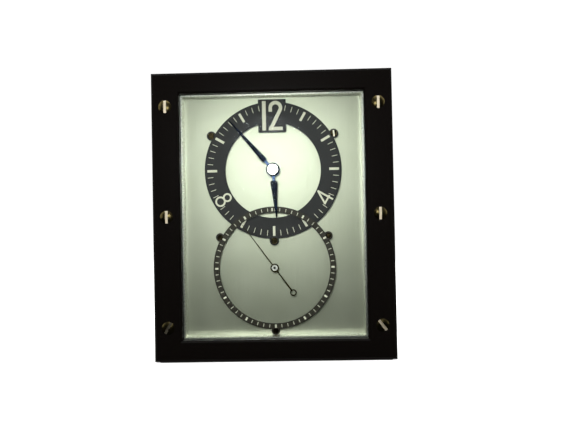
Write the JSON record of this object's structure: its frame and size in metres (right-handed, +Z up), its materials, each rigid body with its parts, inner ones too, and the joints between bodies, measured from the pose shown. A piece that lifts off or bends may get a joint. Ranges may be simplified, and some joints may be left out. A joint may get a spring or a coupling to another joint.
{
  "type": "table clock",
  "caption": "Glazed rectangular table clock with overlapping hour and seconds rings, a spring-driven balance movement and a hinged rear door.",
  "frame": {"origin": "centre of the felt's underside, on the surface the clock stands on", "axes": "+Z up, +Y from the dial to the rear door, +X to the right as seen from the front"},
  "size_m": [0.2107, 0.0943, 0.248],
  "materials": {
    "felt": "pressed wool felt",
    "case_lacquer": "black satin lacquer on wood panels",
    "frame_lacquer": "black satin lacquer with fine wear on the chamfers",
    "gilt_screws": "polished and lacquered brass",
    "glass": "clear float glass",
    "gasket": "black rubber strip",
    "polished_reveal": "polished aluminium",
    "brushed_dial": "silvered brass, brushed upright",
    "ring_black": "black anodised, satin",
    "cream_marking": "cream enamel print",
    "plate_brass": "polished brass with spotted grain",
    "wheel_brass": "cut brass, circular grain",
    "brass": "turned brass",
    "steel": "ground steel",
    "spring_steel": "tempered spring steel",
    "blued_steel": "heat-blued polished steel",
    "dark_hand": "dark bronzed steel",
    "gilt_balance": "gilt brass"
  },
  "bodies": {
    "case": {"base_felt": "felt", "bottom_panel": "case_lacquer", "top_panel": "case_lacquer", "side_panel_left": "case_lacquer", "side_panel_right": "case_lacquer", "front_frame": "frame_lacquer", "threaded_inserts": "brass", "frame_screws": "gilt_screws", "front_glass": "glass", "glass_gasket": "gasket", "reveal_frame": "polished_reveal", "reveal_screws": "steel", "dial_plate": "brushed_dial", "dial_pillars": "brass", "ring_spacers": "brass", "hour_ring": "ring_black", "hour_markers": "cream_marking", "seconds_ring": "ring_black", "seconds_markers": "cream_marking", "ring_screws": "gilt_screws", "front_plate": "plate_brass", "back_plate": "plate_brass", "plate_pillars": "brass", "movement_screws": "steel", "minute_wheel_post": "steel", "click_spring": "spring_steel", "pallet_cock": "plate_brass", "balance_cock": "plate_brass", "hinge_case_leaves": "brass"},
    "barrel": {"barrel_drum": "wheel_brass", "barrel_cap": "wheel_brass", "mainspring": "spring_steel"},
    "winding": {"winding_arbor": "steel", "ratchet_wheel": "steel"},
    "click": {"click": "steel"},
    "intermediate": {"intermediate_wheel": "wheel_brass"},
    "centre": {"centre_wheel": "wheel_brass"},
    "third": {"third_wheel": "wheel_brass"},
    "seconds": {"seconds_wheel": "wheel_brass", "seconds_hand": "dark_hand"},
    "minute_hand": {"centre_arbor": "steel", "cannon_pinion": "steel", "minute_hand": "blued_steel", "hand_cap": "blued_steel", "setting_knob": "brass"},
    "hour_washer": {"hour_washer": "brass"},
    "hour_hand": {"hour_wheel": "wheel_brass", "hour_hand": "blued_steel"},
    "minute_wheel_washer": {"minute_wheel_washer": "brass"},
    "minute_wheel": {"minute_wheel": "wheel_brass"},
    "escape_wheel": {"escape_wheel": "wheel_brass"},
    "pallet_lever": {"pallet_lever": "steel"},
    "balance": {"balance_staff": "steel", "balance_wheel": "gilt_balance", "hairspring": "blued_steel"},
    "regulator": {"regulator_index": "steel"},
    "rear_door": {"door_frame": "case_lacquer", "door_glass": "glass", "hinge_door_leaves": "brass", "door_knob": "brass"}
  },
  "joints": [
    {"name": "seconds_turn", "type": "hinge", "parent": "case", "child": "seconds", "pos_m": [0, -0.0055, 0.0789], "axis": [0, 1, 0], "continuous": true},
    {"name": "third_turn", "type": "hinge", "parent": "case", "child": "third", "pos_m": [-0.00741, -0.0055, 0.11896], "axis": [0, 1, 0], "continuous": true},
    {"name": "centre_turn", "type": "hinge", "parent": "case", "child": "centre", "pos_m": [0, -0.0055, 0.1643], "axis": [0, 1, 0], "continuous": true},
    {"name": "intermediate_turn", "type": "hinge", "parent": "case", "child": "intermediate", "pos_m": [0.0391, -0.0055, 0.18617], "axis": [0, 1, 0], "continuous": true},
    {"name": "barrel_turn", "type": "hinge", "parent": "case", "child": "barrel", "pos_m": [0.0415, -0.0055, 0.14223], "axis": [0, 1, 0], "continuous": true},
    {"name": "escape_turn", "type": "hinge", "parent": "case", "child": "escape_wheel", "pos_m": [0.02584, -0.0055, 0.08831], "axis": [0, 1, 0], "continuous": true},
    {"name": "hour_washer_turn", "type": "hinge", "parent": "case", "child": "hour_washer", "pos_m": [0, -0.0055, 0.1643], "axis": [0, 1, 0], "continuous": true},
    {"name": "minute_washer_turn", "type": "hinge", "parent": "case", "child": "minute_wheel_washer", "pos_m": [-0.021, -0.0055, 0.1643], "axis": [0, 1, 0], "continuous": true},
    {"name": "hand_setting", "type": "hinge", "parent": "centre", "child": "minute_hand", "pos_m": [0, -0.0055, 0.1643], "axis": [0, 1, 0], "continuous": true},
    {"name": "hour_hand_setting", "type": "hinge", "parent": "hour_washer", "child": "hour_hand", "pos_m": [0, -0.0055, 0.1643], "axis": [0, 1, 0], "continuous": true},
    {"name": "minute_wheel_setting", "type": "hinge", "parent": "minute_wheel_washer", "child": "minute_wheel", "pos_m": [-0.021, -0.0055, 0.1643], "axis": [0, 1, 0], "continuous": true},
    {"name": "lever_swing", "type": "hinge", "parent": "case", "child": "pallet_lever", "pos_m": [0.03266, 0.0215, 0.08951], "axis": [0, 1, 0], "range_deg": [-5, 5]},
    {"name": "balance_swing", "type": "hinge", "parent": "case", "child": "balance", "pos_m": [0.0435, 0.0215, 0.09142], "axis": [0, 1, 0], "range_deg": [-270, 270], "stiffness_Nm_per_rad": 0.00007, "deforming": ["hairspring"]},
    {"name": "regulator_turn", "type": "hinge", "parent": "case", "child": "regulator", "pos_m": [0.0435, 0.0215, 0.09142], "axis": [0, 1, 0], "range_deg": [-15, 15]},
    {"name": "winding_turn", "type": "hinge", "parent": "case", "child": "winding", "pos_m": [0.0415, 0.0215, 0.14223], "axis": [0, 1, 0], "range_deg": [0, 2640], "deforming": ["mainspring"]},
    {"name": "click_lift", "type": "hinge", "parent": "case", "child": "click", "pos_m": [0.056, 0.0215, 0.13023], "axis": [0, 1, 0], "range_deg": [0, 12], "stiffness_Nm_per_rad": 0.002, "springref_deg": -5.73, "deforming": ["click_spring"]},
    {"name": "door_swing", "type": "hinge", "parent": "case", "child": "rear_door", "pos_m": [0.1055, 0.04015, 0.1245], "axis": [0, 0, -1], "range_deg": [0, 110]}
  ],
  "couplings": [
    {"joint": "third_turn", "follows": "seconds_turn", "ratio": -0.13333},
    {"joint": "centre_turn", "follows": "seconds_turn", "ratio": 0.016667},
    {"joint": "intermediate_turn", "follows": "seconds_turn", "ratio": -0.0027778},
    {"joint": "barrel_turn", "follows": "seconds_turn", "ratio": 0.00069444},
    {"joint": "escape_turn", "follows": "seconds_turn", "ratio": -10},
    {"joint": "hour_washer_turn", "follows": "seconds_turn", "ratio": 0.0013889},
    {"joint": "minute_washer_turn", "follows": "seconds_turn", "ratio": -0.0055556},
    {"joint": "hour_hand_setting", "follows": "hand_setting", "ratio": 0.083333},
    {"joint": "minute_wheel_setting", "follows": "hand_setting", "ratio": -0.33333}
  ]
}
